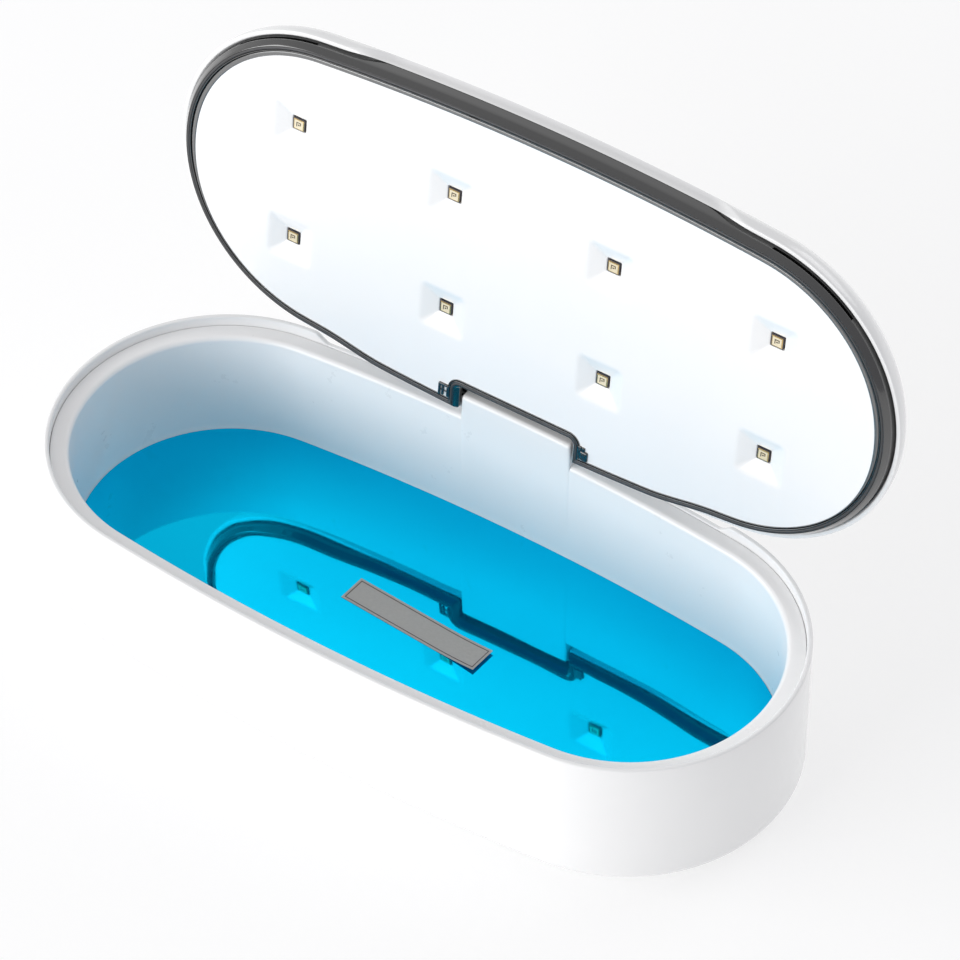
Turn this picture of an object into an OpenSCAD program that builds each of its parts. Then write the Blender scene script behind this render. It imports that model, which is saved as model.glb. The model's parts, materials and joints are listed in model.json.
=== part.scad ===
// Oval sterilizer box with a hinged lid that holds eight ultraviolet lamps.
// Millimetres. +Z is up, X runs along the box and the hinge is on the +Y side.
// The origin is the middle of the underside, on the surface that the box stands on.

/* [Box] */
// Length of the box
box_l = 230; // [228:1:236]
// Width of the box
box_w = 105; // [104:0.5:107]
// Radius of the two round ends
end_r = 49.2; // [48.8:0.1:49.6]
// Height of the base rim above the table
rim_h = 45; // [44:0.5:50]
// Height of the lid from its lower edge to its top
lid_h = 15.6; // [15:0.2:18]
// Wall thickness of the two outer shells
shell_t = 2; // [1.8:0.1:2.1]
// Radius of the edge round the top of the lid
crown_r = 7; // [6:0.5:8]

/* [Tub] */
// Distance from the outer face to the inner wall of the tub
tub_inset = 6.8; // [6.5:0.1:7]
// Wall thickness of the tub
tub_t = 1.5; // [1.2:0.1:1.6]
// Depth of the ledge below the rim
ledge_drop = 3; // [2.8:0.1:3.2]
// Height of the top of the mirror plate
plate_top = 6.4; // [6.2:0.1:7]

/* [Hinge] */
// Angle from closed to fully open
lid_open = 96.3; // [90:0.1:96.5]
// Distance of the hinge axis from the middle of the box
hinge_y = 49; // [48.8:0.1:49.2]
// Width of the hinge tab on the base
tab_w = 36; // [34:1:40]
// Height of the hinge tab above the ledge
tab_rise = 8; // [7.8:0.1:8.2]
// Radius of the hinge pins
pin_r = 1; // [0.9:0.05:1.1]
// Running clearance of a pin in the tab
pin_gap = 0.05; // [0.03:0.01:0.08]

/* [Lamps] */
// Distance between lamps along the box
lamp_dx = 50.8; // [48:0.1:52]
// Distance between the two rows of lamps
lamp_dy = 38.4; // [37:0.1:39]
// Shift of both rows towards the hinge
lamp_shift = 1; // [0:0.1:1.2]
// Side of one lamp package
lamp_w = 3.8; // [3:0.1:4]
// Side of one reflector pocket at its mouth
pocket_w = 14; // [12:0.5:16]

/* [Button] */
// Radius of the power button
button_r = 6.2; // [5.8:0.1:6.3]
// Travel of the power button
button_travel = 0.6; // [0.4:0.1:0.6]

/* [Hidden] */
$fn = 96;
big_fn = 720;
eps = 0.01;
// Flat steps in each quarter of a rounded edge
edge_steps = 6;

// Outline: two end arcs joined by two long side arcs, all tangent
half_l = box_l / 2;
half_w = box_w / 2;
end_x = half_l - end_r;
side_r = (end_x * end_x + half_w * half_w - end_r * end_r) / (2 * (half_w - end_r));
side_y = side_r - half_w;
side_turn = atan2(end_x, side_y);

// Base heights
floor_z = 0.8;
floor_t = 2;
foot_r = 5;
foot_h = 1.5;
foot_x = 62;
foot_y = 40;
base_edge_r = 4;
ledge_z = rim_h - ledge_drop;
ledge_t = 1.6;
lip_t = 1.5;
low_lip_z = ledge_z + 1.3;
low_lip_w = 128;
tub_edge_r = 1.5;
plate_t = 1;
tub_floor_top = plate_top - plate_t;
tub_floor_t = 1.2;
film_t = 0.1;
label_l = 46;
label_w = 9;
label_turn = -4;
screw_r = 1;
base_screw_x = 48;
base_screw_y = 28;
magnet_l = 10;
magnet_x = 45;

// Hinge
hinge_z = ledge_z + 5.6;
tab_top = ledge_z + tab_rise;
tab_front = half_w - 6.2;
tab_back = half_w - 0.3;
pin_inner = tab_w / 2 - 8;
pin_outer = tab_w / 2 + 6.3;

// Lid heights, given for the closed lid
seam_gap = 0.4;
lid_z = rim_h + seam_gap;
lid_top = lid_z + lid_h;
skirt_z = ledge_z + 0.5;
skirt_out = 2;
skirt_in = 4.7;
skirt_top = ledge_z + 6;
flange_z = ledge_z + 4;
flange_t = 1.5;
flange_in = 10.5;
bay_half = tab_w / 2 + 0.5;
bay_front = half_w - 8.5;
bay_roof = hinge_z + 4.6;
bay_roof_t = 1.2;
notch_top = hinge_z + 4.4;
panel_z = ledge_z + 0.9;
panel_t = 1.5;
pocket_top = ledge_z + 3;
board_z = ledge_z + 3.7;
board_t = 1.6;
board_w = 14;
lamp_z = ledge_z + 2.5;
control_z = ledge_z + 10;
control_w = 33.4;
control_lo = -106;
control_hi = 12;
boss_r = 2.6;
frame_screw_in = 7.6;
board_screw_x = 50.8;
usb_w = 8.94;
usb_h = 3.2;
usb_depth = 7.3;
ring_r = 8.3;
button_flange_r = 7.6;
switch_top = lid_top - 4.3;
sensor_x = -19.6;

lamp_xs = [-1.5, -0.5, 0.5, 1.5] * lamp_dx;
lamp_ys = [lamp_shift - lamp_dy / 2, lamp_shift + lamp_dy / 2];
lamp_spots = [for (y = lamp_ys, x = lamp_xs) [x, y]];
foot_spots = [for (y = [-1, 1], x = [-1, 1]) [x * foot_x, y * foot_y]];
base_screw_spots = [for (y = [-1, 1], x = [-1, 1]) [x * base_screw_x, y * base_screw_y]];
frame_screw_spots = concat(
    [for (x = [-30, 30]) [x, -side_edge(x, frame_screw_in)]],
    [for (x = [-34, 34]) [x, side_edge(x, frame_screw_in)]],
    [for (s = [-1, 1], a = [-35, 35])
        [s * (end_x + (end_r - frame_screw_in) * cos(a)), (end_r - frame_screw_in) * sin(a)]]
);
board_screw_spots = [for (y = lamp_ys, x = [-1, 1]) [x * board_screw_x, y]];
control_screw_spots = [for (x = [control_lo + 14, control_hi - 4], y = [-10, 10]) [x, y]];

// Distance from the long axis to the side arc at x, moved in by d
function side_edge(x, d) = sqrt((side_r - d) * (side_r - d) - x * x) - side_y;

// Points along an arc round [x, z] from angle a0 to a1
function arc(x, z, r, a0, a1) =
    [for (i = [0 : edge_steps]) let (a = a0 + (a1 - a0) * i / edge_steps) [x + r * cos(a), z + r * sin(a)]];

// The outline moved in by d
module oval(d) {
    join_x = end_x + (end_r - d) * sin(side_turn);
    intersection() {
        translate([0, -side_y]) circle(r = side_r - d, $fn = big_fn);
        translate([0, side_y]) circle(r = side_r - d, $fn = big_fn);
        square([2 * join_x, 2 * box_w], center = true);
    }
    for (s = [-1, 1])
        translate([s * end_x, 0]) circle(r = end_r - d);
}

// Sweeps a profile round the outline. Its x is the distance outside the outline, its y is z
module around() {
    for (half = [0, 180])
        rotate(half) {
            translate([end_x, 0, 0])
                rotate(side_turn - 90)
                    rotate_extrude(angle = 180 - 2 * side_turn)
                        translate([end_r, 0]) children();
            translate([0, -side_y, 0])
                rotate(90 - side_turn)
                    rotate_extrude(angle = 2 * side_turn, $fn = big_fn)
                        translate([side_r, 0]) children();
        }
}

// A flat plate of the outline moved in by d
module slab(d, z, t) {
    translate([0, 0, z]) linear_extrude(t) oval(d);
}

// The lid's mouth moved in by d: the outline less the bay for the hinge tab
module mouth(d) {
    grow = d - skirt_out;
    difference() {
        oval(d);
        translate([-bay_half - grow, bay_front - grow])
            square([2 * (bay_half + grow), half_w]);
    }
}

// A band of the lid's mouth between two insets
module band(d_out, d_in, z, t) {
    translate([0, 0, z])
        linear_extrude(t)
            difference() {
                mouth(d_out);
                mouth(d_in);
            }
}

// A square pyramid with its tip cut off, w0 wide at the bottom and w1 at the top
module frustum(w0, w1, h) {
    slope = [[-w0 / 2, 0], [w0 / 2, 0], [w1 / 2, h], [-w1 / 2, h]];
    intersection() {
        rotate([90, 0, 0]) linear_extrude(w0, center = true) polygon(slope);
        rotate([90, 0, 90]) linear_extrude(w0, center = true) polygon(slope);
    }
}

// Moves a lid part from closed to the open rest position
module open_lid() {
    translate([0, hinge_y, hinge_z])
        rotate([-lid_open, 0, 0])
            translate([0, -hinge_y, -hinge_z]) children();
}

// A cylinder along X
module rod(r, x0, x1) {
    translate([x0, 0, 0]) rotate([0, 90, 0]) cylinder(r = r, h = x1 - x0);
}

module base_shell_profile() {
    wall_low = floor_z + base_edge_r;
    step_z = ledge_z - ledge_t - 0.1;
    lip_r = 0.5;
    polygon(concat(
        [[-2 * base_edge_r, floor_z]],
        arc(-base_edge_r, wall_low, base_edge_r, -90, 0),
        arc(-lip_r, rim_h - lip_r, lip_r, 0, 90),
        arc(-lip_t + lip_r, rim_h - lip_r, lip_r, 90, 180),
        [[-lip_t, step_z], [-shell_t, step_z]],
        arc(-base_edge_r, wall_low, base_edge_r - shell_t, 0, -90),
        [[-2 * base_edge_r, floor_z + floor_t]]
    ));
}

module base_shell() {
    color("white")
        difference() {
            union() {
                around() base_shell_profile();
                slab(base_edge_r + 1, floor_z, floor_t);
            }
            translate([-low_lip_w / 2, half_w - 8, low_lip_z]) cube([low_lip_w, 20, 10]);
            translate([-tab_w / 2 - 0.3, half_w - 8, ledge_z - ledge_t - 0.1])
                cube([tab_w + 0.6, 20, 10]);
            for (p = foot_spots)
                translate([p[0], p[1], floor_z - 1]) cylinder(r = foot_r + 0.1, h = foot_h + 1 - floor_z);
            for (p = base_screw_spots)
                translate([p[0], p[1], 0]) {
                    cylinder(r = screw_r + 0.1, h = 5);
                    cylinder(r = 2.4, h = floor_z + 1.3);
                }
        }
}

module tub_profile() {
    under = tub_floor_top - tub_floor_t;
    outer = -lip_t - 0.1;
    polygon(concat(
        [[-tub_inset - 4, under], [-tub_inset + tub_t, under]],
        [[-tub_inset + tub_t, ledge_z - ledge_t], [outer, ledge_z - ledge_t], [outer, ledge_z]],
        arc(-tub_inset + tub_edge_r, ledge_z - tub_edge_r, tub_edge_r, 90, 180),
        [[-tub_inset, tub_floor_top], [-tub_inset - 4, tub_floor_top]]
    ));
}

module tab_profile() {
    front_r = 1.2;
    back_r = 2.4;
    low = ledge_z - ledge_t;
    polygon(concat(
        [[tab_front, low], [tab_back, low]],
        arc(tab_back - back_r, tab_top - back_r, back_r, 0, 90),
        arc(tab_front + front_r, tab_top - front_r, front_r, 90, 180)
    ));
}

module inner_tub() {
    color("whitesmoke")
        difference() {
            union() {
                around() tub_profile();
                slab(tub_inset + 2, tub_floor_top - tub_floor_t, tub_floor_t);
                translate([-tab_w / 2, 0, 0])
                    rotate([90, 0, 90]) linear_extrude(tab_w) tab_profile();
                for (p = base_screw_spots)
                    translate([p[0], p[1], floor_z + floor_t])
                        cylinder(r = 3, h = tub_floor_top - floor_z - floor_t - 0.5);
            }
            for (s = [-1, 1])
                translate([0, hinge_y, hinge_z])
                    mirror([s < 0 ? 1 : 0, 0, 0])
                        rod(pin_r + pin_gap, pin_inner - 0.5, tab_w / 2 + 1);
            for (p = base_screw_spots)
                translate([p[0], p[1], 0]) cylinder(r = screw_r, h = tub_floor_top - 0.4);
        }
}

module mirror_plate() {
    color("silver") slab(tub_inset + 0.2, tub_floor_top, plate_t);
}

module protective_film() {
    color("deepskyblue") slab(tub_inset + 0.2, plate_top, film_t);
}

module film_label() {
    color("lightgray")
        translate([-2.6, 1, plate_top + film_t])
            rotate(label_turn)
                translate([-label_l / 2, -label_w / 2, 0]) cube([label_l, label_w, film_t]);
}

module foot(i) {
    color("dimgray")
        translate([foot_spots[i][0], foot_spots[i][1], 0]) cylinder(r = foot_r, h = foot_h);
}

module base_screws() {
    color("silver")
        for (p = base_screw_spots)
            translate([p[0], p[1], floor_z + 0.1]) {
                cylinder(r = 2.2, h = 1.2);
                cylinder(r = screw_r, h = tub_floor_top - floor_z - 0.6);
            }
}

// A magnet in the gap between shell and tub, just below the ledge
module base_magnet(x, l) {
    color("gray")
        translate([x - l / 2, -side_edge(x, shell_t) + 0.55, ledge_z - ledge_t - 3.2])
            cube([l, 2.2, 3]);
}

module lid_shell_profile() {
    edge_t = 1.2;
    edge_h = 1.5;
    deep = 2 * crown_r;
    polygon(concat(
        [[-edge_t, lid_z], [0, lid_z]],
        arc(-crown_r, lid_top - crown_r, crown_r, 0, 90),
        [[-deep, lid_top], [-deep, lid_top - shell_t]],
        arc(-crown_r, lid_top - crown_r, crown_r - shell_t, 90, 0),
        [[-shell_t, lid_z + edge_h], [-edge_t, lid_z + edge_h]]
    ));
}

// A post that hangs from the top of the lid down to z and takes a screw
module post(p, z) {
    translate([p[0], p[1], z]) cylinder(r = boss_r, h = lid_top - shell_t / 2 - z);
}

module lid_shell() {
    inside = lid_top - shell_t;
    color("white")
        open_lid()
            difference() {
                union() {
                    around() lid_shell_profile();
                    slab(2 * crown_r - 0.5, inside, shell_t);
                    for (p = frame_screw_spots) post(p, flange_z + flange_t);
                    for (p = board_screw_spots) post(p, board_z + board_t);
                    for (p = control_screw_spots) post(p, control_z + board_t);
                    intersection() {
                        translate([0, 0, skirt_top + 0.4])
                            linear_extrude(4)
                                difference() {
                                    oval(shell_t - 0.1);
                                    oval(shell_t + 3.5);
                                }
                        translate([-60, -60, 0]) cube([120, 30, 100]);
                    }
                }
                translate([0, -half_w - 3.2, rim_h + 1]) rod(6.5, -66, 66);
                translate([-bay_half, half_w - 4, lid_z - 1])
                    cube([2 * bay_half, 10, notch_top - lid_z + 1]);
                translate([-bay_half - 7, half_w - 4, lid_z - 1])
                    cube([2 * bay_half + 14, 2.7, bay_roof - lid_z + 2.5]);
                translate([-half_l - 1, -usb_w / 2 - 0.2, control_z - usb_h - 0.2])
                    cube([8, usb_w + 0.4, usb_h + 0.4]);
                translate([0, 0, inside - 1]) cylinder(r = ring_r, h = shell_t + 2);
                for (p = frame_screw_spots)
                    translate([p[0], p[1], 0]) cylinder(r = screw_r, h = inside - 4);
                for (p = board_screw_spots)
                    translate([p[0], p[1], 0]) cylinder(r = screw_r, h = inside - 4);
                for (p = control_screw_spots)
                    translate([p[0], p[1], 0]) cylinder(r = screw_r, h = inside - 1);
            }
}

// The slots in the outer side of the skirt, on the round corners at the front
module skirt_slots() {
    for (s = [0, 1])
        mirror([s, 0, 0])
            translate([end_x, 0, skirt_z + 1.4])
                rotate(-83)
                    rotate_extrude(angle = 34)
                        translate([end_r - skirt_out - 1.2, 0]) square([2, 1.1]);
}

module lid_frame() {
    boss_w = 3.2;
    boss_x = bay_half + skirt_in - skirt_out;
    color("dimgray")
        open_lid()
            difference() {
                union() {
                    band(skirt_out, skirt_in, skirt_z, skirt_top - skirt_z);
                    band(skirt_in - 0.1, flange_in, flange_z, flange_t);
                    band_bay();
                    for (s = [-1, 1])
                        translate([s * (boss_x + boss_w / 2) - boss_w / 2 - 0.1, half_w - 6.5, hinge_z - 2.7])
                            cube([boss_w + 0.2, 5, 5.4]);
                }
                band(skirt_out + 0.9, skirt_out + 1.9, skirt_z - 1, 1.8);
                skirt_slots();
                translate([sensor_x - 1.5, -side_edge(sensor_x, skirt_in) - 1, skirt_z - 1])
                    cube([3, 3, 2]);
                for (p = frame_screw_spots)
                    translate([p[0], p[1], 0]) cylinder(r = screw_r, h = rim_h + 20);
                for (s = [-1, 1])
                    translate([0, hinge_y, hinge_z])
                        mirror([s < 0 ? 1 : 0, 0, 0]) rod(pin_r, tab_w / 2 - 1, pin_outer);
            }
}

// Walls and roof of the bay that clears the hinge tab
module band_bay() {
    wall = skirt_in - skirt_out;
    back = half_w - shell_t - 0.2;
    for (s = [-1, 1])
        translate([s * (bay_half + wall / 2) - wall / 2, bay_front - wall, skirt_z])
            cube([wall, back - bay_front + wall, bay_roof + bay_roof_t - skirt_z]);
    translate([-bay_half, bay_front - wall, skirt_z])
        cube([2 * bay_half, wall, bay_roof + bay_roof_t - skirt_z]);
    translate([-bay_half, bay_front - wall, bay_roof])
        cube([2 * bay_half, back - bay_front + wall, bay_roof_t]);
}

module lid_seal() {
    color("gray") open_lid() band(skirt_out + 0.9, skirt_out + 1.9, skirt_z - 0.15, 0.95);
}

module led_panel() {
    wall = 0.8;
    color("white")
        open_lid()
            difference() {
                union() {
                    translate([0, 0, panel_z]) linear_extrude(panel_t) mouth(skirt_in + 0.2);
                    for (p = lamp_spots)
                        translate([p[0], p[1], panel_z + panel_t])
                            frustum(pocket_w - 2, lamp_w + 2.4, pocket_top + wall - panel_z - panel_t - 0.2);
                }
                for (p = lamp_spots)
                    translate([p[0], p[1], panel_z - eps])
                        frustum(pocket_w, lamp_w + 0.6, pocket_top - panel_z + eps);
                for (p = lamp_spots)
                    translate([p[0], p[1], panel_z + 5])
                        cube([lamp_w + 0.6, lamp_w + 0.6, 10], center = true);
            }
}

// A lamp package with its window: the window is the raised middle of the face
module led(i) {
    edge = 0.4;
    color("khaki")
        open_lid()
            translate([lamp_spots[i][0], lamp_spots[i][1], 0]) {
                translate([-lamp_w / 2, -lamp_w / 2, lamp_z + 0.2])
                    cube([lamp_w, lamp_w, board_z - lamp_z - 0.2]);
                translate([-lamp_w / 2 + edge, -lamp_w / 2 + edge, lamp_z])
                    cube([lamp_w - 2 * edge, lamp_w - 2 * edge, 0.3]);
            }
}

module led_board(row) {
    color("gainsboro")
        open_lid()
            difference() {
                translate([-86, lamp_ys[row] - board_w / 2, board_z]) cube([172, board_w, board_t]);
                for (x = [-1, 1])
                    translate([x * board_screw_x, lamp_ys[row], 0]) cylinder(r = screw_r, h = 100);
            }
}

// A pin header between a lamp board and the control board
module board_link(row) {
    side = row == 0 ? -1 : 1;
    color("black")
        open_lid()
            translate([-34, lamp_shift + side * 13.9 - 1.7, board_z + board_t])
                cube([10, 3.4, control_z - board_z - board_t]);
}

module control_board() {
    color("green")
        open_lid()
            difference() {
                translate([control_lo, -control_w / 2, control_z])
                    cube([control_hi - control_lo, control_w, board_t]);
                for (p = control_screw_spots)
                    translate([p[0], p[1], 0]) cylinder(r = screw_r, h = 100);
            }
}

module driver_chip() {
    color("black") open_lid() translate([-52, -3, control_z + board_t]) cube([6, 6, 1.4]);
}

module power_inductor() {
    color("dimgray") open_lid() translate([-72, 5, control_z + board_t]) cylinder(r = 4, h = 3);
}

module filter_capacitor() {
    color("gray") open_lid() translate([-72, -6, control_z + board_t]) cylinder(r = 3, h = 3.2);
}

module usb_socket() {
    wall = 0.35;
    color("silver")
        open_lid()
            translate([-half_l + 0.5, -usb_w / 2, control_z - usb_h])
                difference() {
                    cube([usb_depth, usb_w, usb_h]);
                    translate([-1, wall, wall])
                        cube([usb_depth - 0.5, usb_w - 2 * wall, usb_h - 2 * wall]);
                }
}

module lid_sensor() {
    color("black")
        open_lid()
            translate([sensor_x - 2, -side_edge(sensor_x, skirt_in) + 0.3, panel_z + panel_t])
                cube([4, 2.4, flange_z - panel_z - panel_t]);
}

module lid_magnet(x) {
    color("gray")
        open_lid()
            translate([x - magnet_l / 2, -side_edge(x, skirt_in) + 0.4, panel_z + panel_t])
                cube([magnet_l, 2.2, flange_z - panel_z - panel_t]);
}

// A screw whose head is under z and whose shank goes l above it
module lid_screw(p, z, l) {
    translate([p[0], p[1], z - 1]) cylinder(r = 2, h = 1);
    translate([p[0], p[1], z - 0.5]) cylinder(r = screw_r, h = l + 0.5);
}

module frame_screws() {
    color("silver") open_lid() for (p = frame_screw_spots) lid_screw(p, flange_z, 7);
}

module board_screws() {
    color("silver")
        open_lid() {
            for (p = board_screw_spots) lid_screw(p, board_z, 6);
            for (p = control_screw_spots) lid_screw(p, control_z, 5);
        }
}

module hinge_pin(side) {
    color("silver")
        open_lid()
            translate([0, hinge_y, hinge_z])
                mirror([side < 0 ? 1 : 0, 0, 0]) rod(pin_r, pin_inner, pin_outer - 0.1);
}

module button_switch() {
    color("dimgray")
        open_lid()
            difference() {
                translate([-3, -3, control_z + board_t])
                    cube([6, 6, switch_top - control_z - board_t]);
                translate([0, 0, switch_top - 2]) cylinder(r = 1.9, h = 5);
            }
}

module light_ring() {
    color("lightskyblue")
        open_lid()
            translate([0, 0, lid_top - shell_t])
                difference() {
                    cylinder(r = ring_r, h = shell_t);
                    translate([0, 0, -1]) cylinder(r = button_r + 0.3, h = shell_t + 2);
                }
}

module power_button() {
    proud = 0.3;
    low = switch_top + button_travel + 0.3;
    color("white")
        open_lid() {
            translate([0, 0, low]) cylinder(r = button_flange_r, h = 1.1);
            translate([0, 0, low + 0.3]) cylinder(r = button_r, h = lid_top + proud - low - 0.3);
        }
}

module switch_stem() {
    color("black")
        open_lid() translate([0, 0, switch_top - 1]) cylinder(r = 1.6, h = 1.3 + button_travel);
}

base_shell();
inner_tub();
mirror_plate();
protective_film();
film_label();
for (i = [0 : 3])
    foot(i);
base_screws();
base_magnet(-magnet_x, magnet_l);  // base_magnet_left
base_magnet(magnet_x, magnet_l);  // base_magnet_right
base_magnet(sensor_x, 5);  // sensor_magnet
lid_shell();
lid_frame();
lid_seal();
led_panel();
for (i = [0 : 7])
    led(i);
led_board(0);  // led_board_front
led_board(1);  // led_board_back
board_link(0);  // board_link_front
board_link(1);  // board_link_back
control_board();
driver_chip();
power_inductor();
filter_capacitor();
usb_socket();
lid_sensor();
lid_magnet(-magnet_x);  // lid_magnet_left
lid_magnet(magnet_x);  // lid_magnet_right
frame_screws();
board_screws();
hinge_pin(-1);  // hinge_pin_left
hinge_pin(1);  // hinge_pin_right
button_switch();
light_ring();
power_button();
switch_stem();
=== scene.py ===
import json
import math

import bmesh
import bpy
from mathutils import Matrix, Vector
from mathutils.geometry import tessellate_polygon


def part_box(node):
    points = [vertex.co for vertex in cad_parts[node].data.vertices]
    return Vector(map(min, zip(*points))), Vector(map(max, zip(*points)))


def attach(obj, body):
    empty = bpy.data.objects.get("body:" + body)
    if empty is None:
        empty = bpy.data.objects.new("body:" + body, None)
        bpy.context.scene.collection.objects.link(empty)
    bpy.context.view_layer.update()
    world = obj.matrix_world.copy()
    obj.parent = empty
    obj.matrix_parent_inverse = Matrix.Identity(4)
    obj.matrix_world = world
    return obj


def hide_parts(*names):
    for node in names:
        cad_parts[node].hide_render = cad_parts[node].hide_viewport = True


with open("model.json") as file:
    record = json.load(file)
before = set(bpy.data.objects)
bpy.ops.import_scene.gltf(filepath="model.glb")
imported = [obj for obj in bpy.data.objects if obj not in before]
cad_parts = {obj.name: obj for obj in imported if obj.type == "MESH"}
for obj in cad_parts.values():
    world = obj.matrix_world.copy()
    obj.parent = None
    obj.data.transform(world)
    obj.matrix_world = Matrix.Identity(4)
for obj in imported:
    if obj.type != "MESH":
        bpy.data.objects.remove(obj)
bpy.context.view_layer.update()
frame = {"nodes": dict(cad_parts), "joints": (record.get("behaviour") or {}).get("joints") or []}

MM = 0.001
TAU = 2 * math.pi


# ---------------------------------------------------------------- sizes, in millimetres
def cad_box(node):
    """Lowest and highest corner of a node at rest, in millimetres."""
    lo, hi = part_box(node)
    return Vector(lo) / MM, Vector(hi) / MM


shell_lo, shell_hi = cad_box("base_shell")
HALF_L = shell_hi.x
HALF_W = shell_hi.y
FLOOR_Z = shell_lo.z
RIM_Z = shell_hi.z
LIP_H = 3.0
LEDGE_Z = RIM_Z - LIP_H
PLATE_Z = cad_box("mirror_plate")[1].z
SIDE_CROWN = 3.3
END_R = HALF_W - SIDE_CROWN
END_X = HALF_L - END_R
# the long sides are arcs that meet the round ends without a corner
SIDE_R = (END_X ** 2 + HALF_W ** 2 - END_R ** 2) / (2 * (HALF_W - END_R))
SIDE_Y = SIDE_R - HALF_W
TURN = math.atan2(END_X, SIDE_Y)
JOIN_X = SIDE_R * math.sin(TURN)

hinge = next(j for j in frame["joints"] if j["name"] == "lid_hinge")
HINGE = Vector(hinge["pos_m"])
OPEN_LID = (Matrix.Translation(HINGE) @ Matrix.Rotation(-math.radians(hinge["range_deg"][1]), 4, "X")
            @ Matrix.Translation(-HINGE))
CLOSE_LID = OPEN_LID.inverted()
LID_GAP, LID_H = 0.4, 15.6
LID_Z = RIM_Z + LID_GAP
LID_TOP = LID_Z + LID_H
TAB_HALF = 18.0
BAY_HALF = 18.5
BAY_FRONT = HALF_W - 8.5
RING_OUT, RING_IN = 2.0, 4.7
BULGE, BULGE_X, BULGE_FADE = 1.6, 65.0, 22.0
SEAL_OUT, SEAL_IN = 3.42, 4.34
RING_LOW = LEDGE_Z + 0.5
PANEL_Z = LEDGE_Z + 0.9


def lamp_spot(number):
    """Centre of a lamp in the plane of the closed lid."""
    lo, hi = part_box(f"led_{number}")
    spot = CLOSE_LID @ ((Vector(lo) + Vector(hi)) / 2)
    return spot.x / MM, spot.y / MM


LAMPS = [lamp_spot(i + 1) for i in range(8)]


# ---------------------------------------------------------------- mesh helpers
class Station:
    """A place on a path; point(d) is the point moved in by d.

    Round a hub of (x, y, limit, step x, step y) the points past the limit fall together, which
    keeps a tight corner free of folds.
    """

    def __init__(self, x, y, nx, ny, tag=0.0, side="", hub=None):
        self.x, self.y, self.nx, self.ny = x, y, nx, ny
        self.tag, self.side, self.hub = tag, side, hub

    def point(self, d):
        if self.hub and d > self.hub[2]:
            past = d - self.hub[2]
            return self.hub[0] + past * self.hub[3], self.hub[1] + past * self.hub[4]
        return self.x - d * self.nx, self.y - d * self.ny


def side_station(x, back, tag=0.0):
    """A station on the back or the front side."""
    sign = 1 if back else -1
    c = x / SIDE_R
    s = math.sqrt(1 - c * c)
    return Station(x, sign * (SIDE_R * s - SIDE_Y), c, sign * s, tag, "back" if back else "front")


def end_station(right, angle):
    """A station on the round of the right or the left end."""
    c, s = math.cos(angle), math.sin(angle)
    return Station((END_X if right else -END_X) + END_R * c, END_R * s, c, s, side="end")


def spread(a, b, n):
    """n steps from a to b, both ends kept."""
    return [a + (b - a) * i / n for i in range(n + 1)]


def outline(back=None, end_steps=88, side_steps=56):
    """Stations round the whole outline, counter-clockwise from the front right join."""
    low = math.pi / 2 - TURN
    right = [end_station(True, a) for a in spread(-low, low, end_steps)]
    left = [end_station(False, a) for a in spread(math.pi - low, math.pi + low, end_steps)]
    back = back or [side_station(x, True) for x in spread(JOIN_X, -JOIN_X, side_steps)[1:-1]]
    front = [side_station(x, False) for x in spread(-JOIN_X, JOIN_X, side_steps)[1:-1]]
    return right + back + left + front


def arc(cx, cz, r, a0, a1, n=6):
    """Points on an arc from angle a0 to a1, in degrees."""
    return [(cx + r * math.cos(math.radians(a)), cz + r * math.sin(math.radians(a)))
            for a in spread(a0, a1, n)]


def ease(t):
    """A smooth step from 0 to 1."""
    t = min(1.0, max(0.0, t))
    return 0.5 - 0.5 * math.cos(math.pi * t)


def add_loop(bm, points):
    return [bm.verts.new(Vector(p) * MM) for p in points]


def bridge(bm, a, b, mat=0):
    """Quads between two loops of the same length."""
    n = len(a)
    for i in range(n):
        j = (i + 1) % n
        face = bm.faces.new((a[i], a[j], b[j], b[i]))
        face.material_index = mat


def fill(bm, loops):
    """A flat face inside the first loop with the other loops as holes."""
    flat = [v for loop in loops for v in loop]
    for tri in tessellate_polygon([[v.co for v in loop] for loop in loops]):
        try:
            bm.faces.new([flat[i] for i in tri])
        except ValueError:
            pass


def open_between(bm, *loops):
    """Deletes the faces that lie between the given loops."""
    ends = {v for loop in loops for v in loop}
    faces = [f for f in bm.faces if all(v in ends for v in f.verts)]
    bmesh.ops.delete(bm, geom=faces, context="FACES_ONLY")


def sweep(bm, stations, profile, closed=True):
    """Sweeps a closed profile along stations. profile(station) gives its (d, z) points."""
    rings = [add_loop(bm, [(*s.point(d), z) for d, z in profile(s)]) for s in stations]
    for k in range(len(rings) if closed else len(rings) - 1):
        bridge(bm, rings[k], rings[(k + 1) % len(rings)])
    if not closed:
        bm.faces.new(rings[0])
        bm.faces.new(list(reversed(rings[-1])))
    return rings


def clean(bm):
    """Merges double points, drops loose ones and turns the faces outwards."""
    bmesh.ops.remove_doubles(bm, verts=bm.verts, dist=1e-7)
    bmesh.ops.dissolve_degenerate(bm, dist=1e-8, edges=bm.edges)
    loose = [v for v in bm.verts if not v.link_faces]
    bmesh.ops.delete(bm, geom=loose, context="VERTS")
    bmesh.ops.recalc_face_normals(bm, faces=bm.faces)


def new_object(name, bm, lid=False, sharp=38):
    """Makes an object from a bmesh; a lid piece is built closed and turned open here."""
    clean(bm)
    mesh = bpy.data.meshes.new(name)
    bm.to_mesh(mesh)
    bm.free()
    obj = bpy.data.objects.new(name, mesh)
    bpy.context.scene.collection.objects.link(obj)
    if lid:
        mesh.transform(OPEN_LID)
    smooth(obj, sharp)
    return obj


def smooth(obj, sharp=38):
    """Smooth shading, with edges sharper than the angle kept."""
    mesh = obj.data
    mesh.polygons.foreach_set("use_smooth", [True] * len(mesh.polygons))
    mesh.set_sharp_from_angle(angle=math.radians(sharp))
    mesh.update()


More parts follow.
